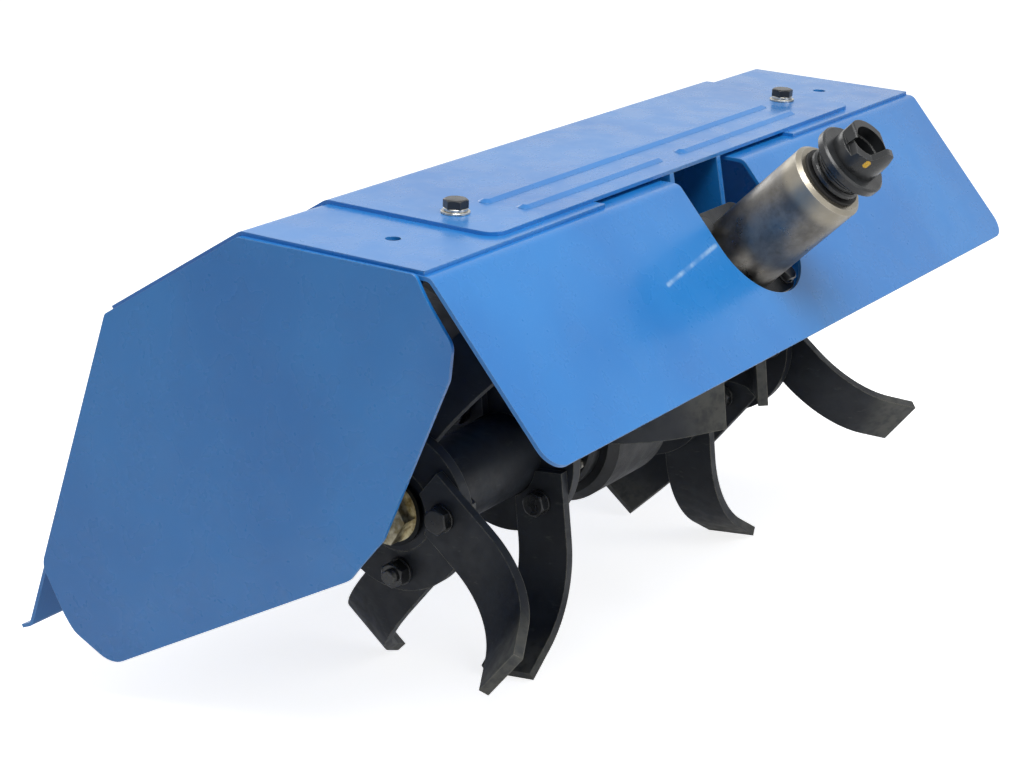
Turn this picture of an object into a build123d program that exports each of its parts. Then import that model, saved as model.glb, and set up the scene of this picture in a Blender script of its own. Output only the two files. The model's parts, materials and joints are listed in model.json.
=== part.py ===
from build123d import *
import os
from math import atan2, cos, degrees, hypot, radians, sin, tan

# Rotary tiller attachment for a two-wheel tractor, in millimetres.
# It stands on its tines: X runs along the rotor, -Y is the hitch side, +Z is up.

# Hood: a folded sheet-metal cover between two side shields
hood_width = 760.0
sheet = 3.0
top_depth = 153.0
slope_run = 120.0
slope_drop = 77.0
rear_run = 72.0
rear_drop = 218.0
cover_half_width = 279.0
cover_front = 9.0
cover_corner = 14.0
side_plate_inner = 150.0
plate_setback = 5.0
shield_gap = 0.3
bend_radius = 9.0

# Pressed ribs of the cover
rib_width = 12.0
rib_height = 2.4
long_rib_y = 63.0
long_rib_half = 210.0
short_rib_y = 33.0
short_rib_start = 20.0
short_rib_length = 185.0

# Bolts that hold the cover to the side plates, and the spare holes
bolt_line_y = 62.0
cover_bolt_margin = 29.0
spare_hole_margin = 56.0
bolt_hole_dia = 11.0

# Front guard plate with its notch for the hitch tube
guard_angle = 48.0
guard_length = 148.0
guard_half_width = 377.0
guard_top_y = -6.0
guard_return = 34.0
guard_corner = 18.0
notch_half_width = 52.0
notch_depth = 110.0
notch_mouth_radius = 9.0

# Side shield outline, in the plane of the shield
shield_front_top = (4.0, -2.0)
shield_front_mid = (-21.5, -47.0)
shield_front_low = (-18.0, -72.5)
shield_heel_front = (34.0, -199.0)
shield_heel = (62.0, -236.0)
shield_tail = (286.5, -366.0)
shield_tail_rear = (315.0, -344.0)
shield_nose_radius = 16.0
shield_heel_radius = 18.0
shield_tail_radius = 18.0
shield_rim = 18.0
rim_end = 22.0

# Creases of the shield: its front and bottom margins lean inwards from them
front_crease = ((-4.0, -18.0), (71.0, -185.0))
bottom_crease = ((71.0, -196.0), (316.0, -333.0))
margin_lean = 15.0
crease_radius = 75.0

# Rear flap, hinged along the lower edge of the rear slope
flap_side_gap = 7.0
flap_seat_gap = 0.3
flap_drop = 14.0
flap_length = 267.0
flap_lip = 10.0
flap_lip_angle = 24.0
flap_bend = 4.0
hinge_rod_dia = 10.0
hinge_barrel_dia = 18.0
hinge_fit = 0.05
hinge_end_gap = 0.3
hinge_room = 0.5
slope_end_back = 3.0
hinge_leaf = 4.0
hinge_leaf_reach = 34.0
hinge_margin = 90.0
hinge_knuckle = 40.0

# Hitch tube and input drive, along one sloping axis
tube_slope = 45.5
tube_point_y = -55.1
tube_point_z = -44.0
tube_dia = 64.0
tube_wall = 7.0
tube_end = 72.0
tube_chamfer = 3.0
seal_dia = 50.0
seal_depth = 12.0
seal_stand = 2.5
shaft_hold = 20.0
input_shaft_dia = 25.0
neck_dia = 45.0
neck_length = 15.0
neck_groove = 3.0
neck_bead_chamfer = 1.6
disk_dia = 60.0
disk_thickness = 8.0
disk_chamfer = 1.5
jaw_dia = 42.0
pilot_bore = 27.0
jaw_bore = 30.0
jaw_ring_length = 10.0
long_jaw_height = 31.0
long_jaw_place = 230.0
short_jaw_height = 19.5
short_jaw_place = 57.0
running_gap = 0.3

# Gearbox in the middle of the rotor
rotor_y = 103.0
rotor_z = -227.0
box_radius = 62.0
box_half_width = 46.0
box_chamfer = 7.0
bearing_cap_radius = 48.0
bearing_cap_chamfer = 3.0
bearing_cap_length = 12.0
neck_depth = 68.0
neck_corner = 14.0
collar_radius = 33.5
tine_room = 5.5
shaft_dia = 40.0
shaft_fit = 0.05

# Flange on the hitch tube, and the webs behind it that carry the hood
tube_flange_width = 84.0
tube_flange_corner = 14.0
tube_flange_thickness = 12.0
tube_flange_place = -38.0
web_thickness = 6.0
web_inset = 2.0
web_top_rear = 132.0
web_across = 40.0
web_foot_across = 22.0
web_foot = 26.0
web_sweep_gap = 8.0
web_seat_gap = 0.3

# Rotor: four flanges on two sleeves, with four tines each
outer_flange_x = 255.0
inner_flange_x = 108.0
flange_radius = 64.0
flange_thickness = 10.0
sleeve_dia = 66.0
cap_gap = 5.5
tine_width = 45.0
tine_thickness = 8.0
tine_offset = 34.6
tine_root = 9.0
tine_relief = 1.0
tine_bend_start = 66.0
tine_bend_radius = 88.0
tine_bend_angle = 58.5
tine_reach = 157.0
tines_per_flange = 4
stand_half = 22.5
park_lean = 5.0
end_washer_dia = 54.0
end_washer_thickness = 4.0
end_nut_dia = 46.0
end_nut_length = 14.0

os.makedirs("parts", exist_ok=True)
nodes = {}

half_width = hood_width / 2
cover_bolt_x = cover_half_width - cover_bolt_margin
spare_hole_x = half_width - spare_hole_margin


def yz_prism(points, x0, x1):
    """Close a polygon of (y, z) points and run it along X from x0 to x1."""
    face = make_face(Polyline(*points, close=True))
    return extrude(Plane.YZ.offset(x0) * face, amount=x1 - x0)


def yz_sheet(points, thickness, radii, x0, x1):
    """Fold a sheet along (y, z) points, its body on the right of the path."""
    if len(points) > 2:
        path = FilletPolyline(*points, radius=radii)
    else:
        path = Line(*points)
    outline = offset(path, amount=thickness, side=Side.RIGHT)
    return extrude(Plane.YZ.offset(x0) * make_face(outline), amount=x1 - x0)


def x_cylinder(radius, x0, x1, y=0.0, z=0.0):
    """Round bar along X."""
    return extrude(Plane.YZ.offset(x0) * (Pos(y, z) * Circle(radius)), amount=x1 - x0)


def mirrored(shape):
    """The same piece on the other side of the middle plane."""
    return mirror(shape, about=Plane.YZ)


# Corners of the hood in side view, and unit directions along its rear faces
slope_top = (top_depth, 0.0)
slope_low = (top_depth + slope_run, -slope_drop)
rear_low = (slope_low[0] + rear_run, slope_low[1] - rear_drop)
slope_angle = atan2(slope_drop, slope_run)
rear_angle = atan2(rear_run, rear_drop)
slope_dir = (cos(slope_angle), -sin(slope_angle))
slope_out = (sin(slope_angle), cos(slope_angle))
rear_dir = (sin(rear_angle), -cos(rear_angle))
rear_out = (cos(rear_angle), sin(rear_angle))


def past(point, *steps):
    """Step from a (y, z) point by (direction, distance) pairs."""
    y = point[0] + sum(d[0] * length for d, length in steps)
    z = point[1] + sum(d[1] * length for d, length in steps)
    return (y, z)


# Hinge axis of the rear flap, tucked under the corner between slope and rear
hinge_radius = hinge_barrel_dia / 2
slope_inset = sheet + hinge_radius + hinge_room
rear_inset = hinge_radius - flap_seat_gap



def rear_corner(below_slope, inside_rear):
    """Point at set distances inside the slope line and the rear line."""
    cross = slope_out[0] * rear_out[1] - slope_out[1] * rear_out[0]
    return (slope_low[0] + (inside_rear * slope_out[1] - below_slope * rear_out[1]) / cross,
            slope_low[1] + (below_slope * rear_out[0] - inside_rear * slope_out[0]) / cross)


hinge = rear_corner(slope_inset, rear_inset)
hinge_y, hinge_z = hinge
sheet_end = past(hinge, (slope_out, slope_inset), (slope_dir, -slope_end_back))

# Cover over the middle, one sheet above the side plates
cover_bend = past(slope_top, ((0.0, 1.0), sheet), ((1.0, 0.0), sheet * tan(slope_angle / 2)))
cover = yz_sheet([(cover_front, sheet), cover_bend, past(sheet_end, (slope_out, sheet))],
                 sheet, bend_radius + sheet, -cover_half_width, cover_half_width)
cover = fillet(cover.edges().filter_by(Axis.Z).group_by(Axis.Y)[0], cover_corner)


def pressed_rib(x0, x1, y):
    """Half-round stiffening rib along X on the top plate."""
    slot = SlotCenterToCenter(x1 - x0, rib_width)
    bar = extrude(Pos((x0 + x1) / 2, y, sheet / 2) * slot, amount=rib_height + sheet / 2)
    return chamfer(bar.faces().sort_by(Axis.Z)[-1].edges(), rib_height * 0.9, rib_height * 1.6)


cover += pressed_rib(-long_rib_half, long_rib_half, long_rib_y)
for side in (-1, 1):
    rib_mid = side * (short_rib_start + short_rib_length / 2)
    cover += pressed_rib(rib_mid - short_rib_length / 2, rib_mid + short_rib_length / 2,
                         short_rib_y)
for side in (-1, 1):
    cover -= Pos(side * cover_bolt_x, bolt_line_y) * Cylinder(bolt_hole_dia / 2, 40)
nodes["hood_cover"] = cover

# Side plates under the cover, set back a little from the shields' outer faces
plate_outer = half_width - plate_setback
side_plate = yz_sheet([(0.0, 0.0), slope_top, sheet_end], sheet, bend_radius,
                      side_plate_inner, plate_outer)
for hole_x in (cover_bolt_x, spare_hole_x):
    side_plate -= Pos(hole_x, bolt_line_y) * Cylinder(bolt_hole_dia / 2, 40)
nodes["hood_side_right"] = side_plate
nodes["hood_side_left"] = mirrored(side_plate)

# Front guard: a return under the side plates, then the sloping plate
guard_dir = (-cos(radians(guard_angle)), -sin(radians(guard_angle)))
guard_top = (guard_top_y, -sheet)
guard_low = past(guard_top, (guard_dir, guard_length))
guard_outer = half_width - sheet - shield_gap
guard = yz_sheet([guard_low, guard_top, (guard_top[0] + guard_return, -sheet)],
                 sheet, bend_radius, -guard_outer, guard_outer)
guard_plane = Plane(origin=(0, guard_top[0], guard_top[1]), x_dir=(1, 0, 0),
                    z_dir=(0, -sin(radians(guard_angle)), cos(radians(guard_angle))))
notch_centre = notch_depth - notch_half_width
notch = Pos(0, -notch_centre / 2 + 40) * Rectangle(2 * notch_half_width, notch_centre + 80)
notch += Pos(0, -notch_centre) * Circle(notch_half_width)
guard -= extrude(guard_plane * notch, amount=60, both=True)
corners = guard.edges().filter_by(lambda e: e.length < 1.5 * sheet).group_by(Axis.Z)[0]
guard = fillet(corners, guard_corner)
nodes["front_guard"] = guard

# Side shields with a rim turned in under the plates
rim_bend = past(slope_top, ((0.0, -1.0), sheet), ((-1.0, 0.0), sheet * tan(slope_angle / 2)))
outline = [shield_front_top, shield_front_mid, shield_front_low, shield_heel_front,
           shield_heel, shield_tail, shield_tail_rear, rear_low,
           rear_corner(sheet, 0.0), rim_bend]
radii = [6.0, shield_nose_radius, shield_nose_radius, shield_heel_radius, shield_heel_radius,
         shield_tail_radius, shield_tail_radius, shield_nose_radius,
         bend_radius - sheet, bend_radius - sheet]
shield_prism = extrude(Plane.YZ * make_face(FilletPolyline(*outline, radius=radii, close=True)),
                       amount=half_width)
shield_block = Pos(half_width / 2, top_depth, -hood_width / 4) * Box(half_width, hood_width,
                                                                     hood_width)


def beyond_crease(crease):
    """Everything outside the margin that leans in from a crease line."""
    run = (crease[1][0] - crease[0][0], crease[1][1] - crease[0][1])
    length = hypot(*run)
    out = (run[1] / length, -run[0] / length)
    lean = radians(margin_lean)
    plane = Plane(origin=(half_width, crease[0][0], crease[0][1]), x_dir=(0, run[0], run[1]),
                  z_dir=(cos(lean), out[0] * sin(lean), out[1] * sin(lean)))
    return extrude(plane * Rectangle(4 * hood_width, 4 * hood_width), amount=hood_width)


for crease in (front_crease, bottom_crease):
    shield_block -= beyond_crease(crease)
front_middle = [sum(v) / 2 for v in zip(*front_crease)]
bottom_middle = [sum(v) / 2 for v in zip(*bottom_crease)]
crease_edges = [shield_block.edges().sort_by_distance((half_width, *middle))[0]
                for middle in (front_middle, bottom_middle)]
hip = [e for e in shield_block.edges()
       if e not in crease_edges and all(min(e.distance_to(c), 1.0) < 0.01 for c in crease_edges)]
shield_block = fillet(crease_edges + hip[:1], crease_radius)
shield = (shield_block - Pos(-sheet, 0, 0) * shield_block) & shield_prism
rim_start = guard_top[0] + guard_return + 1.0
shield += yz_sheet([(rim_start, -sheet), rim_bend, rear_corner(sheet, 0.0),
                    past(rear_low, (rear_dir, -rim_end))],
                   sheet, bend_radius - sheet, half_width - shield_rim, half_width - sheet)
nodes["shield_right"] = shield
nodes["shield_left"] = mirrored(shield)

# Hitch tube
tube_dir = (0.0, -cos(radians(tube_slope)), sin(radians(tube_slope)))


def on_tube(s):
    """Plane across the tube axis, at distance s up from the reference point."""
    centre = (0.0, tube_point_y + s * tube_dir[1], tube_point_z + s * tube_dir[2])
    return Plane(origin=centre, x_dir=(1, 0, 0), z_dir=tube_dir)


def tube_station(y, z):
    """Distance along the tube axis of the foot of a point (y, z)."""
    return (y - tube_point_y) * tube_dir[1] + (z - tube_point_z) * tube_dir[2]


# The narrow neck ends outside the circle that the tine tips sweep
tip_radius = hypot(tine_reach, tine_offset + tine_width / 2)
axis_station = tube_station(rotor_y, rotor_z)
collar_low = axis_station + tip_radius + tine_room
tube_low = tube_flange_place + tube_flange_thickness
tube = extrude(on_tube(tube_low) * (Circle(tube_dia / 2) - Circle(tube_dia / 2 - tube_wall)),
               amount=tube_end - tube_low)
tube = chamfer(tube.edges().group_by(Axis.Y)[0].sort_by(Edge.length)[-1], tube_chamfer)
nodes["input_tube"] = tube

seal = extrude(on_tube(tube_end - seal_depth) * (Circle(seal_dia / 2)
               - Circle(input_shaft_dia / 2 + hinge_fit)), amount=seal_depth + seal_stand)
nodes["tube_seal"] = seal

# Input drive: shaft, neck, disk and jaw coupling
shaft_foot = tube_end - seal_depth - shaft_hold
neck_low = tube_end + seal_stand + running_gap
neck_high = neck_low + neck_length
input_shaft = extrude(on_tube(shaft_foot) * Circle(input_shaft_dia / 2),
                      amount=neck_low - shaft_foot)
input_shaft += extrude(on_tube(neck_low) * Circle(neck_dia / 2 - neck_groove),
                       amount=neck_length)
bead_length = (neck_length - neck_groove) / 2
for bead_low in (neck_low, neck_high - bead_length):
    bead = extrude(on_tube(bead_low) * Circle(neck_dia / 2), amount=bead_length)
    input_shaft += chamfer(bead.edges(), neck_bead_chamfer)
nodes["input_shaft"] = input_shaft
disk = extrude(on_tube(neck_high) * Circle(disk_dia / 2), amount=disk_thickness)
nodes["coupling_disk"] = chamfer(disk.edges(), disk_chamfer)

# Jaws: a long hooked one and a short broad one, standing on one ring
jaw_foot = neck_high + disk_thickness
jaw_wall = Circle(jaw_dia / 2) - Circle(jaw_bore / 2)
jaws = extrude(on_tube(jaw_foot) * (Circle(jaw_dia / 2) - Circle(pilot_bore / 2)),
               amount=jaw_ring_length)
jaw_half = jaw_dia / 2
hook_outline = [(-0.83 * jaw_half, 0.0), (-0.72 * jaw_half, 0.50 * long_jaw_height),
                (-0.22 * jaw_half, 0.60 * long_jaw_height), (0.02 * jaw_half, long_jaw_height),
                (0.30 * jaw_half, 0.98 * long_jaw_height),
                (0.55 * jaw_half, 0.65 * long_jaw_height), (0.80 * jaw_half, 0.0)]
short_outline = [(-0.90 * jaw_half, 0.0), (-0.78 * jaw_half, short_jaw_height),
                 (0.78 * jaw_half, short_jaw_height), (0.90 * jaw_half, 0.0)]
for place, outline, radius, height in (
        (long_jaw_place, hook_outline, 2.0, long_jaw_height),
        (short_jaw_place, short_outline, 3.0, short_jaw_height)):
    face_plane = on_tube(jaw_foot) * Plane(origin=(0, 0, 0), z_dir=(cos(radians(place)),
                                                                    sin(radians(place)), 0),
                                           x_dir=(-sin(radians(place)), cos(radians(place)), 0))
    corners = len(outline) - 2
    profile = FilletPolyline(*outline, radius=[radius] * corners)
    face = make_face(profile + Line(outline[-1], outline[0]))
    jaws += (extrude(face_plane * face, amount=jaw_dia)
             & extrude(on_tube(jaw_foot + jaw_ring_length) * jaw_wall,
                       amount=height - jaw_ring_length))
nodes["jaw_coupling"] = jaws

# Gearbox, with a narrow neck that the inner tines pass on both sides
bend = radians(tine_bend_angle)
bend_end = tine_bend_start + tine_bend_radius * sin(bend)
bend_side = tine_bend_radius * (1 - cos(bend))
tail = (tine_reach - bend_end) / cos(bend)
tine_side_reach = bend_side + tail * sin(bend) + tine_thickness * cos(bend)
neck_half_width = inner_flange_x - flange_thickness / 2 - tine_side_reach - tine_room
box = x_cylinder(box_radius, -box_half_width, box_half_width, rotor_y, rotor_z)
box = chamfer(box.edges(), box_chamfer)
box += extrude(on_tube(axis_station) * RectangleRounded(2 * neck_half_width, neck_depth,
                                                        neck_corner),
               amount=collar_low - axis_station)
box += extrude(on_tube(collar_low) * Circle(collar_radius),
               amount=tube_flange_place - collar_low)
box = box - x_cylinder(shaft_dia / 2 + shaft_fit, -box_half_width, box_half_width,
                       rotor_y, rotor_z)
nodes["gearbox_housing"] = box
cap_end = box_half_width + bearing_cap_length
cap = x_cylinder(bearing_cap_radius, box_half_width, cap_end, rotor_y, rotor_z)
cap = chamfer(cap.edges().group_by(Axis.X)[-1], bearing_cap_chamfer)
cap -= x_cylinder(shaft_dia / 2 + shaft_fit, box_half_width, cap_end, rotor_y, rotor_z)
nodes["bearing_cap_right"] = cap
nodes["bearing_cap_left"] = mirrored(cap)

# Square flange between the gearbox neck and the hitch tube, seen through the notch
tube_flange = extrude(on_tube(tube_flange_place)
                      * RectangleRounded(tube_flange_width, tube_flange_width,
                                         tube_flange_corner),
                      amount=tube_flange_thickness)
nodes["tube_flange"] = tube_flange


def by_tube(s, across):
    """(y, z) at distance s up the tube axis and across it, rear side positive."""
    return (tube_point_y + s * tube_dir[1] + across * tube_dir[2],
            tube_point_z + s * tube_dir[2] - across * tube_dir[1])


# Webs between the flange and the hood's top, hollowed clear of the turning tines
web_inner = tube_dia / 2 + web_inset
web_high = tube_flange_place - web_seat_gap
web_low = web_high - web_foot
web_side = yz_prism([(cover_front, 0.0), (web_top_rear, 0.0),
                     by_tube(web_low, web_foot_across), by_tube(web_low, -web_foot_across),
                     by_tube(web_high, -web_foot_across), by_tube(web_high, web_across)],
                    web_inner, web_inner + web_thickness)
web_side -= x_cylinder(tip_radius + web_sweep_gap, web_inner, web_inner + web_thickness,
                       rotor_y, rotor_z)
nodes["web_right"] = web_side
nodes["web_left"] = mirrored(web_side)

# Rotor shaft, sleeves and flanges
shaft_half = outer_flange_x + flange_thickness / 2 + 2.0
nodes["rotor_shaft"] = x_cylinder(shaft_dia / 2, -shaft_half, shaft_half, rotor_y, rotor_z)
sleeve_inner = cap_end + cap_gap
sleeve_outer = outer_flange_x + flange_thickness / 2
sleeve = (x_cylinder(sleeve_dia / 2, sleeve_inner, sleeve_outer, rotor_y, rotor_z)
          - x_cylinder(shaft_dia / 2, sleeve_inner, sleeve_outer, rotor_y, rotor_z))
nodes["sleeve_right"] = sleeve
nodes["sleeve_left"] = mirrored(sleeve)

nut = x_cylinder(end_washer_dia / 2, shaft_half, shaft_half + end_washer_thickness,
                 rotor_y, rotor_z)
nut += extrude(Plane.YZ.offset(shaft_half + end_washer_thickness)
               * (Pos(rotor_y, rotor_z) * RegularPolygon(end_nut_dia / 2, 6)),
               amount=end_nut_length)
nodes["end_nut_right"] = nut
nodes["end_nut_left"] = mirrored(nut)

# Tine in its own frame: X up the shank, Y across the width, Z the way it bends
with BuildPart() as tine_builder:
    with BuildSketch(Plane.XZ):
        with BuildLine():
            shank = Line((tine_root, 0), (tine_bend_start, 0))
            arc = Line((0, 0), (1, 0), mode=Mode.PRIVATE)
            bent = CenterArc((tine_bend_start, tine_bend_radius), tine_bend_radius,
                             -90, tine_bend_angle)
            tip = Line(bent @ 1, (bent @ 1) + (tail * cos(bend), tail * sin(bend)))
            outer = Line(tip @ 1, (tip @ 1) + (-tine_thickness * sin(bend),
                                              tine_thickness * cos(bend)))
            back = Line(outer @ 1, (outer @ 1) - (tail * cos(bend), tail * sin(bend)))
            inner = CenterArc((tine_bend_start, tine_bend_radius),
                              tine_bend_radius - tine_thickness,
                              -90 + tine_bend_angle, -tine_bend_angle)
            close_1 = Line(inner @ 1, (tine_root, tine_thickness))
            close_2 = Line(close_1 @ 1, (tine_root, 0))
        make_face()
    extrude(amount=tine_width / 2, both=True)
tine = Pos(0, tine_offset, 0) * tine_builder.part
tine -= Cylinder(sleeve_dia / 2 + tine_relief, 4 * tine_thickness)


def place_on_flange(shape, flange_x, turn, toward):
    """Turn a tine-frame shape to an angle about the rotor axis, on one flange."""
    z_dir = (toward, 0, 0)
    x_dir = (0, cos(radians(turn)), sin(radians(turn)))
    seat = Plane(origin=(flange_x, rotor_y, rotor_z), x_dir=x_dir, z_dir=z_dir)
    return seat * shape


# The tiller stands on two rows of tine tips, the same angle before and behind the rotor.
# The rotor rests turned back by the angle that the whole machine leans forward.
down = 270.0
tine_step = 360.0 / tines_per_flange
corner_lead = degrees(atan2(tine_offset + tine_width / 2, tine_reach))
outer_turn = down + stand_half + corner_lead - park_lean
inner_turn = down - stand_half + corner_lead - park_lean
flange_x_list = (-outer_flange_x, -inner_flange_x, inner_flange_x, outer_flange_x)
for number, flange_x in enumerate(flange_x_list, start=1):
    is_outer = number in (1, 4)
    first_turn = outer_turn if is_outer else inner_turn
    outward = 1 if flange_x > 0 else -1
    first_side = -outward if is_outer else outward
    plate = Circle(flange_radius) - Circle(sleeve_dia / 2)
    nodes[f"flange_{number}"] = extrude(Plane.YZ.offset(flange_x - flange_thickness / 2)
                                        * (Pos(rotor_y, rotor_z) * plate),
                                        amount=flange_thickness)
    tines = []
    for k in range(tines_per_flange):
        toward = first_side if k % 2 == 0 else -first_side
        seat_x = flange_x + toward * flange_thickness / 2
        handed = tine if toward < 0 else mirror(tine, about=Plane.XZ)
        tines.append(place_on_flange(handed, seat_x, first_turn + tine_step * k, toward))
    nodes[f"tines_{number}"] = Part() + tines

# Rear flap, closing on the shields' rear edges, and its hinge
flap_half = half_width - flap_side_gap
flap_top = past(hinge, (rear_out, hinge_radius + sheet), (rear_dir, flap_drop))
flap_low = past(flap_top, (rear_dir, flap_length))
lip_dir = (cos(radians(flap_lip_angle)), -sin(radians(flap_lip_angle)))
flap = yz_sheet([flap_top, flap_low, past(flap_low, (lip_dir, flap_lip))], sheet, flap_bend,
                -flap_half, flap_half)


def knuckle(x0, x1, leaf_out, leaf_dir, seat):
    """Hinge barrel with a leaf that runs off along a sheet's inner face, at its seat distance."""
    leaf = yz_prism([past(hinge, (leaf_out, seat)),
                     past(hinge, (leaf_out, seat), (leaf_dir, hinge_leaf_reach)),
                     past(hinge, (leaf_out, seat - hinge_leaf), (leaf_dir, hinge_leaf_reach)),
                     past(hinge, (leaf_out, seat - hinge_leaf))], x0, x1)
    barrel = x_cylinder(hinge_radius, x0, x1, hinge_y, hinge_z)
    bore = x_cylinder(hinge_rod_dia / 2 + hinge_fit, x0, x1, hinge_y, hinge_z)
    return barrel + leaf - bore


fixed_knuckles = Part()
flap_knuckles = Part()
hinge_place = half_width - hinge_margin
for side in (-1, 1):
    x0 = side * hinge_place - hinge_knuckle / 2
    x1 = x0 - side * (hinge_knuckle + hinge_end_gap)
    fixed_knuckles += knuckle(x0, x0 + hinge_knuckle, slope_out,
                              (-slope_dir[0], -slope_dir[1]), hinge_radius + hinge_room)
    flap_knuckles += knuckle(x1, x1 + hinge_knuckle, rear_out, rear_dir, hinge_radius)
rod_half = hinge_place + hinge_knuckle / 2 + 4.0
nodes["hinge_knuckles"] = fixed_knuckles
nodes["hinge_rod"] = x_cylinder(hinge_rod_dia / 2, -rod_half, rod_half, hinge_y, hinge_z)
nodes["rear_flap"] = flap
nodes["flap_knuckles"] = flap_knuckles

# Lean the machine onto both rows of tips, and put the origin on the floor under its middle
parked = {name: Rot(park_lean, 0, 0) * shape for name, shape in nodes.items()}
boxes = [shape.bounding_box() for shape in parked.values()]
middle_y = (min(b.min.Y for b in boxes) + max(b.max.Y for b in boxes)) / 2
floor_z = min(b.min.Z for b in boxes)
print("origin", middle_y, floor_z)
print("hinge", hinge_y, hinge_z)
for name, shape in parked.items():
    export_step(Pos(0, -middle_y, -floor_z) * shape, f"parts/{name}.step")
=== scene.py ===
# %% [markdown]
# # A rotary tiller for a two-wheel tractor
# The machine is a folded blue sheet-metal hood over a rotor of bent black tines. Its shapes
# come from the solid model, which is loaded here as a fixed frame. This lesson gives each
# surface its finish, adds the bolts and washers, and sets up a plain studio.

# %% Load the frame
import json
import math

import bpy
from mathutils import Matrix, Vector


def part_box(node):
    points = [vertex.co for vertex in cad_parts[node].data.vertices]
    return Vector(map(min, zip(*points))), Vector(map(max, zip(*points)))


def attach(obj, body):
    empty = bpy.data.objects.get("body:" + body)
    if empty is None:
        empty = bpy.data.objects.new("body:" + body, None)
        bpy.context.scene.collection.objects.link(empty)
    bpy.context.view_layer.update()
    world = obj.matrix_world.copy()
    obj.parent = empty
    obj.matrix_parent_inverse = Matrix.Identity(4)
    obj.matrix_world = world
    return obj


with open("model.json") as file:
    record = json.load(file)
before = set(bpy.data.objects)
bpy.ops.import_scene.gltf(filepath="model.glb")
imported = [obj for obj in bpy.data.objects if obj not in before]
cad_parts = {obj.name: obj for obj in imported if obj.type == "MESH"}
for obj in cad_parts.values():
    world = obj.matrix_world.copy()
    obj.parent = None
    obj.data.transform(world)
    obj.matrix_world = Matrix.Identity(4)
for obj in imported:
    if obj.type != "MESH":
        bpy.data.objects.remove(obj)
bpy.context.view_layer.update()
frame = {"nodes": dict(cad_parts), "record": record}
nodes = frame["nodes"]

# %% [markdown]
# ## Measures taken from the frame
# The tiller is drawn level and then parked leaning forward onto its tine tips, so its sheets
# run at odd angles to the floor. Everything that is added here is easier to place in the
# maker's own level frame, with its zero on the rotor axis. One matrix carries places from
# that frame to the parked one, and its inverse gives level boxes of the solids.

# %% The level frame of the machine
park_lean = math.radians(5.0)
shaft_low, shaft_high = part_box("rotor_shaft")
rotor_axis = (Vector(shaft_low) + Vector(shaft_high)) / 2
parked = Matrix.Translation(rotor_axis) @ Matrix.Rotation(park_lean, 4, "X")
level = parked.inverted()


def level_points(name):
    """The corners of a solid's mesh, in the level frame."""
    return [level @ vertex.co for vertex in nodes[name].data.vertices]


def level_box(name):
    """Lowest and highest corner of a solid in the level frame."""
    points = level_points(name)
    return tuple(Vector(pick(p[axis] for p in points) for axis in range(3))
                 for pick in (min, max))


print("rotor axis", [round(v, 4) for v in rotor_axis])
print("level cover", [[round(v, 4) for v in corner] for corner in level_box("hood_cover")])

# %% [markdown]
# ## The camera
# The photograph looks down from the front left at about nineteen degrees, from almost two
# metres away. A longer lens from further off would flatten the hood, and a shorter one would
# stretch its near corner, so place and lens both follow the photograph's own perspective.
# The camera is given in the level frame and leaned with the machine.

# %% Camera
camera_offset = Vector((-1.5516, -0.9280, 0.6446))
camera_forward = Vector((0.79611, 0.51091, -0.32433)).normalized()
camera_right_hint = Vector((0.54897, -0.83523, 0.03181))
focal_length = 81.59
sensor_width = 36.0

camera_up = camera_right_hint.cross(camera_forward).normalized()
camera_right = camera_forward.cross(camera_up).normalized()
camera_data = bpy.data.cameras.new("studio_camera")
camera_data.sensor_width = sensor_width
camera_data.lens = focal_length
camera = bpy.data.objects.new("studio_camera", camera_data)
bpy.context.scene.collection.objects.link(camera)
camera_axes = Matrix((camera_right, camera_up, -camera_forward)).transposed()
camera.matrix_world = parked @ (Matrix.Translation(camera_offset) @ camera_axes.to_4x4())
bpy.context.scene.camera = camera
print("camera at", [round(v, 3) for v in camera.matrix_world.translation])

# %% [markdown]
# ## A small kit for node trees
# Every finish below is a tree of shader nodes, and every fastener comes from a tree of
# geometry nodes. Both kinds are built by the same two steps: add a node, and feed a socket
# with a value or with another node's output.

# %% Node tree kit


class NodeTree:
    """Shortcuts for building a node tree, which is kept in self.tree."""

    def add(self, kind, **settings):
        node = self.tree.nodes.new(kind)
        for key, value in settings.items():
            setattr(node, key, value)
        return node

    def feed(self, node, values):
        """Give sockets, found by name or number, a plain value or another node's output."""
        for key, value in values.items():
            socket = node.inputs[key]
            if isinstance(value, bpy.types.NodeSocket):
                self.tree.links.new(value, socket)
            else:
                socket.default_value = value


print("kit ready")

# %% [markdown]
# ## A kit for materials
# The same few steps come up in each finish: make noise, turn it into soft patches, mix two
# colours by a mask, find the sharp edges, and raise a fine relief. Uneven surfaces are what
# makes paint and metal believable, so patches of noise steer colour and roughness alike.

# %% Material kit
edge_round = 0.0008
bevel_samples = 4
flat_likeness, edge_likeness = 0.98, 0.75
# A Mix node has a pair of sockets for each kind of value. These are the numbers of two pairs.
mix_colours, mixed_colour = (6, 7), 2
mix_numbers, mixed_number = (2, 3), 0


def srgb(red, green, blue):
    """The linear colour that shows as these screen values, which run from 0 to 255."""
    def linear(value):
        value = value / 255.0
        return value / 12.92 if value <= 0.04045 else ((value + 0.055) / 1.055) ** 2.4
    return (linear(red), linear(green), linear(blue), 1.0)


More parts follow.
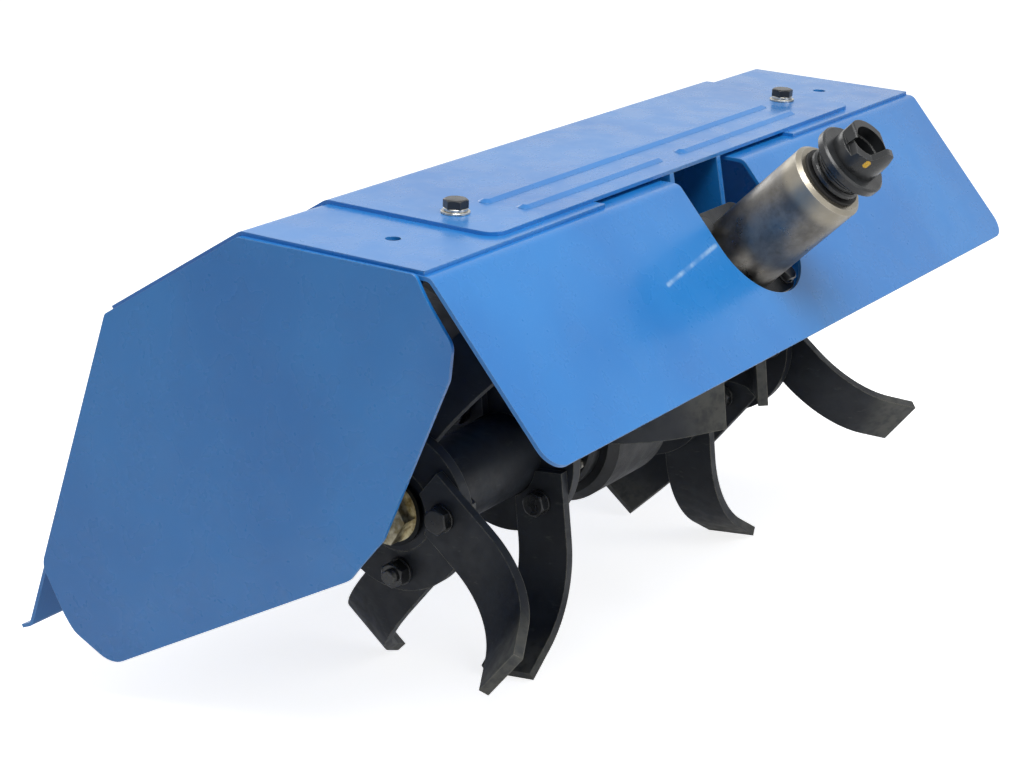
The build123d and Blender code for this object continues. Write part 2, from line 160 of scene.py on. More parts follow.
class Finish(NodeTree):
    """One node material, with shortcuts for the nodes that these finishes use."""

    def __init__(self, name):
        self.material = bpy.data.materials.new(name)
        self.material.use_nodes = True
        self.tree = self.material.node_tree
        self.shader = self.tree.nodes["Principled BSDF"]
        self.place = self.add("ShaderNodeTexCoord").outputs["Object"]

    def set(self, socket, value):
        """Feed one socket of the surface shader."""
        self.feed(self.shader, {socket: value})

    def noise(self, scale, detail=3.0, roughness=0.55, stretch=None):
        source = self.place
        if stretch:
            mapping = self.add("ShaderNodeMapping")
            self.feed(mapping, {"Scale": stretch, "Vector": self.place})
            source = mapping.outputs["Vector"]
        node = self.add("ShaderNodeTexNoise")
        self.feed(node, {"Scale": scale, "Detail": detail, "Roughness": roughness,
                         "Vector": source})
        return node.outputs["Fac"]

    def ramp(self, source, low, high, start=0.0, end=1.0, smooth=True):
        """Spread the values between low and high out from start to end."""
        node = self.add("ShaderNodeMapRange", clamp=True,
                        interpolation_type="SMOOTHSTEP" if smooth else "LINEAR")
        self.feed(node, {"From Min": low, "From Max": high, "To Min": start, "To Max": end,
                         "Value": source})
        return node.outputs["Result"]

    def patches(self, scale, low, high, start=0.0, end=1.0, **looks):
        """Noise turned into soft patches whose values run from start to end."""
        return self.ramp(self.noise(scale, **looks), low, high, start, end)

    def times(self, first, second):
        """The product of two masks."""
        node = self.add("ShaderNodeMath", operation="MULTIPLY", use_clamp=True)
        self.feed(node, {0: first, 1: second})
        return node.outputs["Value"]

    def mix(self, mask, first, second):
        """The first colour where the mask is 0, and the second where it is 1."""
        node = self.add("ShaderNodeMix", data_type="RGBA")
        self.feed(node, {"Factor": mask, mix_colours[0]: first, mix_colours[1]: second})
        return node.outputs[mixed_colour]

    def vector(self, operation, first, second, result="Vector"):
        node = self.add("ShaderNodeVectorMath", operation=operation)
        self.feed(node, {0: first, 1: second})
        return node.outputs[result]

    def rounded(self, radius):
        """The surface's direction as it would be with every edge rounded off."""
        node = self.add("ShaderNodeBevel", samples=bevel_samples)
        self.feed(node, {"Radius": radius})
        return node.outputs["Normal"]

    def edges(self, radius, end=1.0):
        """A mask along sharp edges, where the rounded direction leaves the true one."""
        true_normal = self.add("ShaderNodeNewGeometry").outputs["Normal"]
        likeness = self.vector("DOT_PRODUCT", self.rounded(radius), true_normal, "Value")
        return self.ramp(likeness, flat_likeness, edge_likeness, end=end)

    def bump(self, height, distance, strength):
        """Fine relief, over edges that are softly rounded off."""
        node = self.add("ShaderNodeBump")
        self.feed(node, {"Distance": distance, "Strength": strength, "Height": height,
                         "Normal": self.rounded(edge_round)})
        self.set("Normal", node.outputs["Normal"])

    def near_line(self, start, end, inner, outer):
        """A mask that is 1 within the inner distance of a line from start to end."""
        run = end - start
        from_start = self.vector("SUBTRACT", self.place, start)
        along = self.vector("DOT_PRODUCT", from_start, run / run.length_squared, "Value")
        along = self.ramp(along, 0.0, 1.0, smooth=False)
        nearest = self.add("ShaderNodeVectorMath", operation="SCALE")
        self.feed(nearest, {0: run, "Scale": along})
        distance = self.vector("DISTANCE", from_start, nearest.outputs["Vector"], "Value")
        return self.ramp(distance, outer, inner)

    def axis_distance(self):
        """The distance from the rotor's axis, which runs along X."""
        centre = Vector((0.0, 0.0, 0.0))
        across = self.vector("MULTIPLY", self.vector("SUBTRACT", self.place, rotor_axis),
                             Vector((0.0, 1.0, 1.0)))
        return self.vector("DISTANCE", across, centre, "Value")


print("material kit ready")

# %% [markdown]
# ## Blue enamel
# The hood is sprayed with a glossy blue enamel. Close up it isn't quite even: the coat has a
# fine orange-peel texture with paler specks in it, the tone drifts a little over a panel, and
# it is thinner and lighter along the cut edges. A scrape beside the notch, where the tractor's
# clamp has rubbed, is drawn by its distance from a line, so that it stays one narrow mark.

# %% Blue enamel finish
deep_blue, light_blue = srgb(24, 112, 186), srgb(32, 122, 196)
speck_blue, scraped_blue, edge_blue = srgb(96, 160, 214), srgb(168, 200, 230), srgb(120, 168, 214)

enamel = Finish("blue_enamel")
panel_tone = enamel.patches(6.0, low=0.35, high=0.65, detail=2.0)
enamel_body = enamel.mix(panel_tone, deep_blue, light_blue)
specks = enamel.patches(900.0, low=0.60, high=0.75, end=0.18, detail=2.0)
enamel_body = enamel.mix(specks, enamel_body, speck_blue)

guard_slope = math.radians(48.0)
guard_return = 0.034
guard_high = level_box("front_guard")[1]
guard_top = Vector((0.0, guard_high.y - guard_return, guard_high.z))


def on_guard(across, down):
    """A place on the guard's outer face: across from the middle, and down from its top bend."""
    return parked @ (guard_top + Vector((across, -down * math.cos(guard_slope),
                                         -down * math.sin(guard_slope))))


scrape_line = enamel.near_line(on_guard(across=-0.0555, down=0.0544),
                               on_guard(across=-0.1424, down=0.0674),
                               inner=0.0004, outer=0.0026)
scrape_breaks = enamel.patches(60.0, low=0.35, high=0.65, start=0.1, end=0.6)
enamel_body = enamel.mix(enamel.times(scrape_line, scrape_breaks), enamel_body, scraped_blue)
enamel.set("Base Color", enamel.mix(enamel.edges(0.0015, end=0.45), enamel_body, edge_blue))
enamel.set("Roughness", enamel.patches(40.0, low=0.3, high=0.7, start=0.24, end=0.34))
enamel.set("Coat Weight", 0.15)
enamel.set("Coat Roughness", 0.10)
enamel.bump(enamel.noise(700.0, detail=2.0), distance=0.0001, strength=0.12)
print("made", enamel.material.name)

# %% [markdown]
# ## Black paint on the rotor
# Tines, flanges and sleeves are dipped in a thin black paint with a slate-blue cast. The cut
# edges are worn to a dull pale grey, light scuffs run over the flats, and the last two
# centimetres of each blade are rubbed greyer by the ground. That wear follows the distance
# from the rotor's axis, so every tip wears alike.

# %% Black paint finish
black_deep, black_pale = srgb(20, 24, 31), srgb(40, 44, 50)
scuff_grey, tip_grey, edge_grey = srgb(74, 76, 74), srgb(86, 86, 80), srgb(128, 126, 114)
tip_band = 0.02

blackened = Finish("black_tine_paint")
black_body = blackened.mix(blackened.patches(18.0, low=0.35, high=0.7, detail=4.0),
                           black_deep, black_pale)
scuffs = blackened.patches(60.0, low=0.58, high=0.72, end=0.5, detail=6.0, roughness=0.7,
                           stretch=(1.0, 1.0, 3.0))
black_body = blackened.mix(scuffs, black_body, scuff_grey)
tine_low, tine_high = level_box("tines_2")
tip_radius = (tine_high.z - tine_low.z) / 2
near_tip = blackened.ramp(blackened.axis_distance(), tip_radius - tip_band, tip_radius)
tip_wear = blackened.patches(120.0, low=0.3, high=0.6, start=0.2, end=0.7, detail=4.0)
black_body = blackened.mix(blackened.times(near_tip, tip_wear), black_body, tip_grey)
edge_wear = blackened.patches(150.0, low=0.35, high=0.6, start=0.3, end=0.9, detail=4.0)
worn_edge = blackened.times(blackened.edges(0.0018), edge_wear)
blackened.set("Base Color", blackened.mix(worn_edge, black_body, edge_grey))
blackened.set("Roughness", blackened.patches(90.0, low=0.3, high=0.7, start=0.42, end=0.6,
                                             detail=4.0))
blackened.set("Specular IOR Level", 0.35)
blackened.bump(blackened.noise(260.0, detail=4.0), distance=0.0003, strength=0.4)
print("made", blackened.material.name, "tips at", round(tip_radius, 4))

# %% [markdown]
# ## Dark castings
# The gearbox and its flange are castings. Their skin is coarse, with a fine grain from the
# sand mould, under a satin black paint.

# %% Casting finish
cast_deep, cast_pale, cast_edge = srgb(22, 24, 27), srgb(44, 46, 48), srgb(108, 108, 102)

casting = Finish("dark_casting")
cast_body = casting.mix(casting.patches(25.0, low=0.35, high=0.7, detail=4.0),
                        cast_deep, cast_pale)
casting.set("Base Color", casting.mix(casting.edges(0.0012, end=0.6), cast_body, cast_edge))
casting.set("Roughness", casting.patches(70.0, low=0.3, high=0.7, start=0.38, end=0.56))
casting.set("Specular IOR Level", 0.4)
casting.bump(casting.noise(420.0, detail=5.0, roughness=0.7), distance=0.0005, strength=0.5)
print("made", casting.material.name)

# %% [markdown]
# ## Oiled black of the input drive
# The neck, its disk and the jaw coupling are turned and forged pieces that were blackened in
# hot oil. They are darker and shinier than the castings. A dab of yellow paint on the jaw is
# the assembler's check mark.

# %% Drive finish
millimetre = 0.001
hitch = next(m for m in frame["record"]["mounts"] if m["name"] == "hitch_tube")
tube_axis = Vector(hitch["axis"]).normalized()
tube_middle = Vector(hitch["pos_m"])
tube_half = hitch["dims"]["length_mm"] * millimetre / 2
tube_across = Vector((1.0, 0.0, 0.0))
tube_up = tube_axis.cross(tube_across).normalized()

oiled_deep, oiled_pale, oiled_edge = srgb(16, 18, 21), srgb(38, 40, 42), srgb(112, 112, 108)
dab_yellow = srgb(226, 176, 40)
jaw_radius = 0.021
dab_turn = math.radians(215.0)
dab_past_mouth = 0.041
dab_length = 0.003

oiled = Finish("oil_blackened_steel")
oiled_body = oiled.mix(oiled.patches(35.0, low=0.35, high=0.7, detail=4.0),
                       oiled_deep, oiled_pale)
oiled_body = oiled.mix(oiled.edges(0.0010, end=0.6), oiled_body, oiled_edge)
dab_start = (tube_middle + tube_axis * (tube_half + dab_past_mouth)
             + tube_across * jaw_radius * math.cos(dab_turn)
             + tube_up * jaw_radius * math.sin(dab_turn))
dab = oiled.near_line(dab_start, dab_start + tube_axis * dab_length,
                      inner=0.0016, outer=0.0024)
oiled.set("Base Color", oiled.mix(dab, oiled_body, dab_yellow))
oiled.set("Roughness", oiled.patches(60.0, low=0.3, high=0.7, start=0.22, end=0.42, detail=4.0))
oiled.bump(oiled.noise(350.0, detail=4.0, roughness=0.6), distance=0.0002, strength=0.35)
print("made", oiled.material.name, "tube axis", [round(v, 3) for v in tube_axis])

# %% [markdown]
# ## Bare steel of the hitch tube
# The tube is turned and left bare. It has picked up a brown-grey patina in patches, with brighter
# metal left between them, and faint turning marks run round it. The chamfered rim at the mouth is
# bright cut metal with a painted highlight over it: a pale band where the rim catches the light.

# %% Bare steel finish
steel_pale, steel_dull, steel_brown = srgb(124, 121, 116), srgb(92, 90, 87), srgb(84, 80, 72)
# The first colour here is the painted highlight for the chamfered rim at the tube's mouth.
mouth_rim_highlight, steel_edge = srgb(176, 168, 150), srgb(190, 186, 176)
mouth_band, mouth_beyond = 0.002, 0.010

steel = Finish("bare_steel")
steel.set("Metallic", 0.9)
patina = steel.patches(22.0, low=0.38, high=0.66, detail=6.0, roughness=0.65)
steel_body = steel.mix(patina, steel_pale, steel_dull)
fine_patina = steel.patches(130.0, low=0.45, high=0.7, end=0.4, detail=6.0, roughness=0.7)
steel_body = steel.mix(fine_patina, steel_body, steel_brown)
# Painted highlight: a pale band on the mouth's chamfered rim, laid at half strength over the bare
# metal.
mouth_highlight_mask = steel.near_line(tube_middle + tube_axis * (tube_half - mouth_band),
                        tube_middle + tube_axis * (tube_half + mouth_beyond),
                        inner=0.0325, outer=0.036)
steel_body = steel.mix(steel.times(mouth_highlight_mask, 0.5), steel_body, mouth_rim_highlight)
steel.set("Base Color", steel.mix(steel.edges(0.0015), steel_body, steel_edge))
steel.set("Roughness", steel.patches(45.0, low=0.3, high=0.7, start=0.26, end=0.44, detail=5.0))
steel.bump(steel.noise(300.0, detail=4.0, roughness=0.6, stretch=(1.0, 6.0, 6.0)),
           distance=0.0002, strength=0.4)
print("made", steel.material.name)

# %% [markdown]
# ## Zinc, end nuts and rubber
# The hood's washers are zinc plated: a bright but soft silver, a little uneven in tone. The
# rotor's end nuts have yellowed, and a dark washer shows round each of them. The seal in the
# tube's mouth is matt black rubber.

# %% Zinc, end nut and rubber finishes
zinc = Finish("zinc_plate")
zinc.set("Metallic", 0.9)
zinc.set("Base Color", zinc.mix(zinc.patches(200.0, low=0.35, high=0.65, detail=4.0),
                                srgb(150, 148, 140), srgb(205, 203, 196)))
zinc.set("Roughness", zinc.patches(300.0, low=0.3, high=0.7, start=0.25, end=0.42))

nut_corner, washer_start = 0.0236, 0.0240
yellow_deep, yellow_pale, washer_black = srgb(142, 128, 92), srgb(206, 198, 170), srgb(30, 32, 34)

end_nut = Finish("rotor_end_nut")
nut_body = end_nut.mix(end_nut.patches(180.0, low=0.35, high=0.65, detail=4.0),
                       yellow_deep, yellow_pale)
on_washer = end_nut.ramp(end_nut.axis_distance(), nut_corner, washer_start)
end_nut.set("Base Color", end_nut.mix(on_washer, nut_body, washer_black))
end_nut.set("Metallic", 0.85)
end_nut.set("Roughness", end_nut.patches(300.0, low=0.3, high=0.7, start=0.28, end=0.45))

rubber = Finish("seal_rubber")
rubber.set("Base Color", rubber.mix(rubber.noise(80.0), srgb(14, 14, 15), srgb(30, 30, 30)))
rubber.set("Roughness", rubber.patches(120.0, low=0.3, high=0.7, start=0.5, end=0.7))
rubber.bump(rubber.noise(500.0), distance=0.0002, strength=0.3)
print("made", zinc.material.name, end_nut.material.name, rubber.material.name)

# %% [markdown]
# ## Dress the solids
# The record names a material slot for every solid, so the finishes are handed out by slot.
# The input drive and the rotor's end nuts differ from the rest of their slots, so they are
# named one by one.

# %% Assign the finishes
slot_finish = {"blue_paint": enamel, "black_paint": blackened, "bare_steel": steel,
               "dark_iron": casting, "black_rubber": rubber, "zinc": zinc}
node_finish = {"input_shaft": oiled, "coupling_disk": oiled, "jaw_coupling": oiled,
               "end_nut_left": end_nut, "end_nut_right": end_nut}
for entry in frame["record"]["subparts"]:
    solid = nodes[entry["node"]]
    finish = node_finish.get(entry["node"], slot_finish[entry["material_slot"]])
    solid.data.materials.clear()
    solid.data.materials.append(finish.material)

# %% [markdown]
# ## A kit for fasteners in geometry nodes
# Heads, nuts, threads and washers are all turned shapes: rings of points at a radius and a
# height. It then sets one copy on each site, along the direction stored there and turned at
# random, because no fitter leaves every bolt at the same angle.

# %% Geometry kit
round_sides = 36
thread_sides = 24
spin_least, spin_most, spin_value = 2, 3, 1


class Shape(NodeTree):
    """A geometry node tree with named inputs, and shortcuts for its nodes."""

    def __init__(self, name, inputs):
        self.tree = bpy.data.node_groups.new(name, "GeometryNodeTree")
        interface = self.tree.interface
        interface.new_socket("Geometry", in_out="OUTPUT", socket_type="NodeSocketGeometry")
        interface.new_socket("Geometry", in_out="INPUT", socket_type="NodeSocketGeometry")
        for label, kind in inputs.items():
            interface.new_socket(label, in_out="INPUT", socket_type="NodeSocket" + kind)
        self.given = self.add("NodeGroupInput").outputs
        self.output = self.add("NodeGroupOutput")

    def math(self, operation, *values):
        node = self.add("ShaderNodeMath", operation=operation)
        self.feed(node, dict(enumerate(values)))
        return node.outputs[0]

    def position(self):
        """The x, y and z of each point."""
        parts = self.add("ShaderNodeSeparateXYZ")
        self.feed(parts, {0: self.add("GeometryNodeInputPosition").outputs[0]})
        return parts.outputs

    def turn_angle(self):
        x, y, _ = self.position()
        return self.math("ARCTAN2", y, x)

    def pick(self, index, values):
        """The value with this index, which may be a number or another node's output."""
        node = self.add("GeometryNodeIndexSwitch", data_type="FLOAT")
        while len(node.index_switch_items) < len(values):
            node.index_switch_items.new()
        self.feed(node, {"Index": index, **dict(enumerate(values, start=1))})
        return node.outputs[0]

    def turned(self, sides, rings):
        """A closed shape round Z from rings of (radius, height), lowest first."""
        steps = len(rings) - 1
        drum = self.add("GeometryNodeMeshCylinder", fill_type="NGON")
        self.feed(drum, {"Vertices": sides, "Side Segments": steps, "Depth": float(steps)})
        ring = self.math("ROUND", self.math("ADD", self.position()[2], steps / 2))
        radius, height = (self.pick(ring, values) for values in zip(*rings))
        turn = self.turn_angle()
        move = self.add("ShaderNodeCombineXYZ")
        self.feed(move, {0: self.math("MULTIPLY", self.math("COSINE", turn), radius),
                         1: self.math("MULTIPLY", self.math("SINE", turn), radius),
                         2: height})
        placed = self.add("GeometryNodeSetPosition")
        self.feed(placed, {"Geometry": drum.outputs["Mesh"], "Position": move.outputs[0]})
        return placed.outputs[0]

    def place_on_sites(self, piece):
        """One copy of the piece on each site, along its axis and turned at random about it."""
        axis = self.add("GeometryNodeInputNamedAttribute", data_type="FLOAT_VECTOR")
        self.feed(axis, {"Name": "axis"})
        aligned = self.add("FunctionNodeAlignRotationToVector", axis="Z")
        self.feed(aligned, {"Vector": axis.outputs["Attribute"]})
        spin = self.add("FunctionNodeRandomValue", data_type="FLOAT")
        self.feed(spin, {spin_least: 0.0, spin_most: math.tau, "Seed": self.given["Seed"]})
        about = self.add("FunctionNodeAxisAngleToRotation")
        self.feed(about, {"Axis": (0.0, 0.0, 1.0), "Angle": spin.outputs[spin_value]})
        turned = self.add("FunctionNodeRotateRotation", rotation_space="LOCAL")
        self.feed(turned, {0: aligned.outputs[0], 1: about.outputs[0]})
        copies = self.add("GeometryNodeInstanceOnPoints")
        self.feed(copies, {"Points": self.given["Geometry"], "Instance": piece,
                           "Rotation": turned.outputs[0]})
        real = self.add("GeometryNodeRealizeInstances")
        self.feed(real, {0: copies.outputs[0]})
        dressed = self.add("GeometryNodeSetMaterial")
        self.feed(dressed, {"Geometry": real.outputs[0], "Material": self.given["Finish"]})
        self.feed(self.output, {0: dressed.outputs[0]})


print("geometry kit ready")

# %% [markdown]
# ## A node tree for hexagon heads and nuts
# Bolt heads and nuts are one shape: a hexagonal bar whose end is turned to a shallow cone, so
# each corner is cut in a curve. The two lower rings go out to the hexagon, and the top ring
# comes in to the crown. The middle ring's height follows the cone exactly, which draws the
# curved chamfer with few faces. A nut also shows the end of its bolt's thread.

# %% The hexagon tree
crown_share = 0.94
crown_fall = math.tan(math.radians(30.0))
thread_root_share = 0.88
thread_turns = 6
thread_sunk_share = 0.12
least_thread = 0.0001

hexagon = Shape("hexagon_fastener", {"Across Flats": "Float", "Height": "Float",
                                     "Thread Radius": "Float", "Thread Length": "Float",
                                     "Seed": "Int", "Finish": "Material"})
hex_height = hexagon.given["Height"]
flat_radius = hexagon.math("DIVIDE", hexagon.given["Across Flats"], 2.0)
corner_fold = hexagon.math("WRAP", hexagon.turn_angle(), math.pi / 6, -math.pi / 6)
hex_radius = hexagon.math("DIVIDE", flat_radius, hexagon.math("COSINE", corner_fold))
crown_radius = hexagon.math("MULTIPLY", flat_radius, crown_share)
cone_fall = hexagon.math("MULTIPLY", hexagon.math("SUBTRACT", hex_radius, crown_radius),
                         crown_fall)
cone_foot = hexagon.math("SUBTRACT", hex_height, cone_fall)
head = hexagon.turned(round_sides, [(hex_radius, 0.0), (hex_radius, cone_foot),
                                    (crown_radius, hex_height)])

thread_crest = hexagon.given["Thread Radius"]
thread_length = hexagon.given["Thread Length"]
thread_root = hexagon.math("MULTIPLY", thread_crest, thread_root_share)
half_turns = 2 * thread_turns
thread_rings = []
for half_turn in range(half_turns + 1):
    rise = hexagon.math("MULTIPLY", thread_length, half_turn / half_turns - thread_sunk_share)
    thread_rings.append((thread_root if half_turn % 2 else thread_crest,
                         hexagon.math("ADD", hex_height, rise)))
thread = hexagon.turned(thread_sides, thread_rings)
shown_thread = hexagon.add("GeometryNodeSwitch", input_type="GEOMETRY")
hexagon.feed(shown_thread, {"Switch": hexagon.math("GREATER_THAN", thread_length, least_thread),
                            "True": thread})
joined = hexagon.add("GeometryNodeJoinGeometry")
for part in (head, shown_thread.outputs[0]):
    hexagon.feed(joined, {0: part})
hexagon.place_on_sites(joined.outputs[0])
print("tree", hexagon.tree.name, "with", len(hexagon.tree.nodes), "nodes")

# %% [markdown]
# ## A node tree for washers
# A washer is a flat ring, and its hole is always covered by the head above it, so a disc with
# small chamfers on both rims shows the same. Its sizes are inputs too.

# %% The washer tree
rim = 0.0003

washer = Shape("washer", {"Radius": "Float", "Thickness": "Float", "Seed": "Int",
                          "Finish": "Material"})
washer_radius, washer_top = washer.given["Radius"], washer.given["Thickness"]
rim_radius = washer.math("SUBTRACT", washer_radius, rim)
upper_rim = washer.math("SUBTRACT", washer_top, rim)
washer.place_on_sites(washer.turned(round_sides, [(rim_radius, 0.0), (washer_radius, rim),
                                                  (washer_radius, upper_rim),
                                                  (rim_radius, washer_top)]))
print("tree", washer.tree.name, "with", len(washer.tree.nodes), "nodes")

# %% [markdown]
# ## From sites to plain meshes
# A site is a point with the direction that its bolt points in. The tree runs once on the
# sites of one body, and the result is kept as a plain mesh that rides on that body.

# %% Growing pieces on sites
site_seed = 7
sharp_angle = math.radians(24.0)
thread_radius_share = 0.31
black_metal = (oiled, "dark_iron")
bright_metal = (zinc, "zinc")


def grow(name, shape, sites, body, metal, **sizes):
    """Run a tree on (point, axis) sites and keep the result as one mesh on a body."""
    finish, slot = metal
    seeds = bpy.data.meshes.new(name + "_sites")
    seeds.from_pydata([point for point, _ in sites], [], [])
    axes = seeds.attributes.new("axis", "FLOAT_VECTOR", "POINT")
    for number, (_, axis) in enumerate(sites):
        axes.data[number].vector = axis
    piece = bpy.data.objects.new(name, seeds)
    bpy.context.scene.collection.objects.link(piece)
    grower = piece.modifiers.new("grow", "NODES")
    grower.node_group = shape.tree
    sizes.update({"Seed": site_seed, "Finish": finish.material})
    for item in shape.tree.interface.items_tree:
        if item.in_out == "INPUT" and item.name in sizes:
            grower[item.identifier] = sizes[item.name]
    bpy.context.view_layer.update()
    grown = bpy.data.meshes.new_from_object(
        piece.evaluated_get(bpy.context.evaluated_depsgraph_get()))
    piece.modifiers.remove(grower)
    piece.data = grown
    grown.name = name
    grown.shade_smooth()
    grown.set_sharp_from_angle(angle=sharp_angle)
    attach(piece, body)
    print(name, "at", len(sites), "sites,", len(grown.polygons), "faces")


def stack(name, sites, body, metal, across_flats, height, washers=(), thread_length=0.0):
    """Heads or nuts in one mesh, on washers given as (radius, thickness, metal)."""
    for number, (radius, thickness, washer_metal) in enumerate(washers, start=1):
        grow(f"{name}_washer_{number}", washer, sites, body, washer_metal,
             Radius=radius, Thickness=thickness)
        sites = [(point + axis * thickness, axis) for point, axis in sites]
    sizes = {"Across Flats": across_flats, "Height": height,
             "Thread Radius": across_flats * thread_radius_share,
             "Thread Length": thread_length}
    grow(name, hexagon, sites, body, metal, **sizes)


print("ready to grow pieces")

# %% [markdown]
# ## Bolts of the hood
# Two M10 bolts hold the cover to the side plates. Their heads are black, on a bright spring
# washer over a wider flat one. Their places come from the cover's own edges.

# %% Hood bolts
bolt_from_end = 0.029
bolt_from_front = 0.053
front_strip = 0.004
flat_washer = (0.0105, 0.0018, bright_metal)
spring_washer = (0.0088, 0.0022, bright_metal)

cover_low, cover_high = level_box("hood_cover")
cover_top = max(point.z for point in level_points("hood_cover")
                if point.y < cover_low.y + front_strip)
up = parked.to_3x3() @ Vector((0.0, 0.0, 1.0))
hood_sites = [(parked @ Vector((x, cover_low.y + bolt_from_front, cover_top)), up)
              for x in (cover_low.x + bolt_from_end, cover_high.x - bolt_from_end)]
stack("hood_bolts", hood_sites, "hood_frame", black_metal, across_flats=0.016,
      height=0.0064, washers=[flat_washer, spring_washer])

# %% [markdown]
# ## Bolts of the tines
# Each tine is held to its flange by one M12 bolt through its root. The head with its washer
# lies on the tine, and the nut with its own lies on the far side of the flange. The tines
# follow each other by quarter turns, on alternate sides of the flange, so a loop finds all
# sixteen.

# %% Tine bolts
tine_width = 0.045
tine_offset = 0.0346
tine_reach = 0.157
tine_thickness = 0.008
bolt_up_shank = 0.034
straight_down = 270.0
stand_turn = 22.5
quarter_turn = 90.0
outer_flanges = (1, 4)
head_washer = (0.0105, 0.0024, black_metal)
nut_washer = (0.0105, 0.0028, black_metal)

corner_lead = math.degrees(math.atan2(tine_offset + tine_width / 2, tine_reach))
head_sites, nut_sites = [], []
for number in (1, 2, 3, 4):
    flange_low, flange_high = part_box(f"flange_{number}")
    middle = (flange_low.x + flange_high.x) / 2
    half_plate = (flange_high.x - flange_low.x) / 2
    outward = math.copysign(1.0, middle)
    is_outer = number in outer_flanges
    first_turn = straight_down + (stand_turn if is_outer else -stand_turn) + corner_lead
    side = -outward if is_outer else outward
    for quarter in range(4):
        turn = math.radians(first_turn + quarter_turn * quarter)
        seat = rotor_axis + bolt_up_shank * Vector((0.0, math.cos(turn), math.sin(turn)))
        seat = seat + tine_offset * Vector((0.0, math.sin(turn), -math.cos(turn)))
        axis = Vector((side, 0.0, 0.0))
        seat.x = middle + side * (half_plate + tine_thickness)
        far_seat = Vector((middle - side * half_plate, seat.y, seat.z))
        head_sites.append((seat, axis))
        nut_sites.append((far_seat, -axis))
        side = -side
stack("tine_bolts", head_sites, "rotor", black_metal, across_flats=0.018, height=0.0075,
      washers=[head_washer])
stack("tine_nuts", nut_sites, "rotor", black_metal, across_flats=0.018, height=0.0100,
      washers=[nut_washer], thread_length=0.005)

# %% [markdown]
# ## Bolts of the tube flange and the bearing caps
# Four bolts hold the hitch tube's square flange to the gearbox, one in each corner, and six
# small screws hold each bearing cap. Both sets are placed from the piece they hold.

# %% Flange bolts and cap screws
flange_bolt_inset = 0.012
cap_screw_inset = 0.008
screws_per_cap = 6
first_screw_turn = 30.0
small_washer = (0.0080, 0.0020, black_metal)

tube_root = tube_middle - tube_axis * tube_half
flange_low, flange_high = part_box("tube_flange")
corner_step = (flange_high.x - flange_low.x) / 2 - flange_bolt_inset
flange_sites = [(tube_root + tube_across * (across * corner_step)
                 + tube_up * (upward * corner_step), tube_axis)
                for across in (-1.0, 1.0) for upward in (-1.0, 1.0)]
stack("tube_flange_bolts", flange_sites, "hood_frame", black_metal, across_flats=0.013,
      height=0.0055, washers=[small_washer])

cap_sites = []
for name, side in (("bearing_cap_left", -1.0), ("bearing_cap_right", 1.0)):
    cap_low, cap_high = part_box(name)
    ring = (cap_high.z - cap_low.z) / 2 - cap_screw_inset
    face = cap_low.x if side < 0 else cap_high.x
    for number in range(screws_per_cap):
        turn = math.radians(first_screw_turn + 360.0 / screws_per_cap * number)
        cap_sites.append((Vector((face, rotor_axis.y + ring * math.cos(turn),
                                  rotor_axis.z + ring * math.sin(turn))),
                          Vector((side, 0.0, 0.0))))
stack("cap_screws", cap_sites, "hood_frame", bright_metal, across_flats=0.008,
      height=0.0030)

# %% [markdown]
# ## The studio
# A white floor runs out to a white world, so the machine seems to stand on paper. The lamps
# are set for the machine and leave a matt floor pale grey. Light Path nodes add the missing
# white for the camera and for reflections only, so the paper reads white where it is lit,
# keeps the shadow, and throws no extra light on the machine.

# %% Floor and world
floor_half = 9.0
floor_grey = 0.86
floor_corners = [(-floor_half, -floor_half, 0.0), (floor_half, -floor_half, 0.0),
                 (floor_half, floor_half, 0.0), (-floor_half, floor_half, 0.0)]
white = (1.0, 1.0, 1.0, 1.0)


class Surroundings(NodeTree):
    """The node tree of the floor or the world, whose light depends on the kind of ray."""

    def __init__(self, tree):
        self.tree = tree

    def strength(self, soft, reflected, camera_seen):
        """A strength for soft light, one for reflections and glass, and one for the camera."""
        rays = self.add("ShaderNodeLightPath").outputs
        chosen = soft
        for ray, value in (("Is Glossy Ray", reflected), ("Is Transmission Ray", reflected),
                           ("Is Camera Ray", camera_seen)):
            choice = self.add("ShaderNodeMix")
            self.feed(choice, {"Factor": rays[ray], mix_numbers[0]: chosen,
                               mix_numbers[1]: value})
            chosen = choice.outputs[mixed_number]
        return chosen


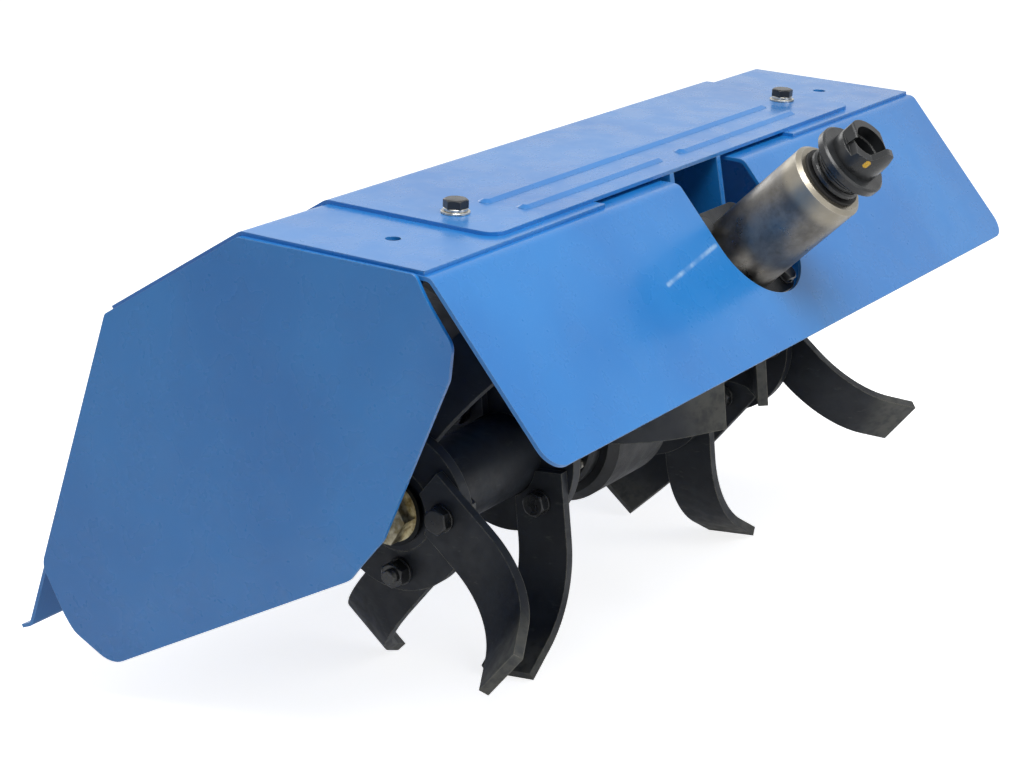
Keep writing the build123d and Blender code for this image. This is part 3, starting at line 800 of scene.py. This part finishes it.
floor_mesh = bpy.data.meshes.new("studio_floor")
floor_mesh.from_pydata(floor_corners, [], [(0, 1, 2, 3)])
floor = bpy.data.objects.new("studio_floor", floor_mesh)
bpy.context.scene.collection.objects.link(floor)

paper = bpy.data.materials.new("studio_floor")
paper.use_nodes = True
paper_tree = Surroundings(paper.node_tree)
paper_light = paper_tree.strength(soft=0.0, reflected=0.3, camera_seen=0.82)
paper_tree.feed(paper.node_tree.nodes["Principled BSDF"],
                {"Base Color": (floor_grey, floor_grey, floor_grey, 1.0), "Roughness": 0.9,
                 "Specular IOR Level": 0.1, "Emission Color": white,
                 "Emission Strength": paper_light})
floor_mesh.materials.append(paper)

world = bpy.data.worlds.new("studio_world")
bpy.context.scene.world = world
world.use_nodes = True
world_tree = Surroundings(world.node_tree)
world_light = world_tree.strength(soft=0.22, reflected=1.0, camera_seen=1.0)
world_tree.feed(world.node_tree.nodes["Background"], {"Color": white, "Strength": world_light})
bpy.context.scene.view_settings.view_transform = "Standard"
print("floor", 2 * floor_half, "m")

# %% [markdown]
# ## Lamps
# Four square softboxes light the machine. The strongest hangs above and in front, so the
# tops are brightest. A wide weak one fills the guard, another lights the back, and a faint
# one reaches the near shield, which stays a tone darker than the tops.

# %% Lamps
aim_point = Vector((0.0, 0.0, 0.2))


def soft_lamp(name, place, width, power):
    """A square area lamp at a place, turned towards the machine."""
    data = bpy.data.lights.new(name, "AREA")
    data.shape = "SQUARE"
    data.size = width
    data.energy = power
    lamp = bpy.data.objects.new(name, data)
    bpy.context.scene.collection.objects.link(lamp)
    lamp.location = place
    lamp.visible_camera = False
    lamp.rotation_euler = (aim_point - Vector(place)).to_track_quat("-Z", "Y").to_euler()
    print(name, power, "W")


soft_lamp("top_softbox", (-0.6, -0.9, 2.4), width=1.4, power=50.0)
soft_lamp("left_softbox", (-2.2, 1.5, 1.2), width=1.2, power=3.0)
soft_lamp("front_softbox", (0.2, -2.8, 1.3), width=1.6, power=17.0)
soft_lamp("rear_softbox", (1.4, 2.6, 1.4), width=1.6, power=14.0)
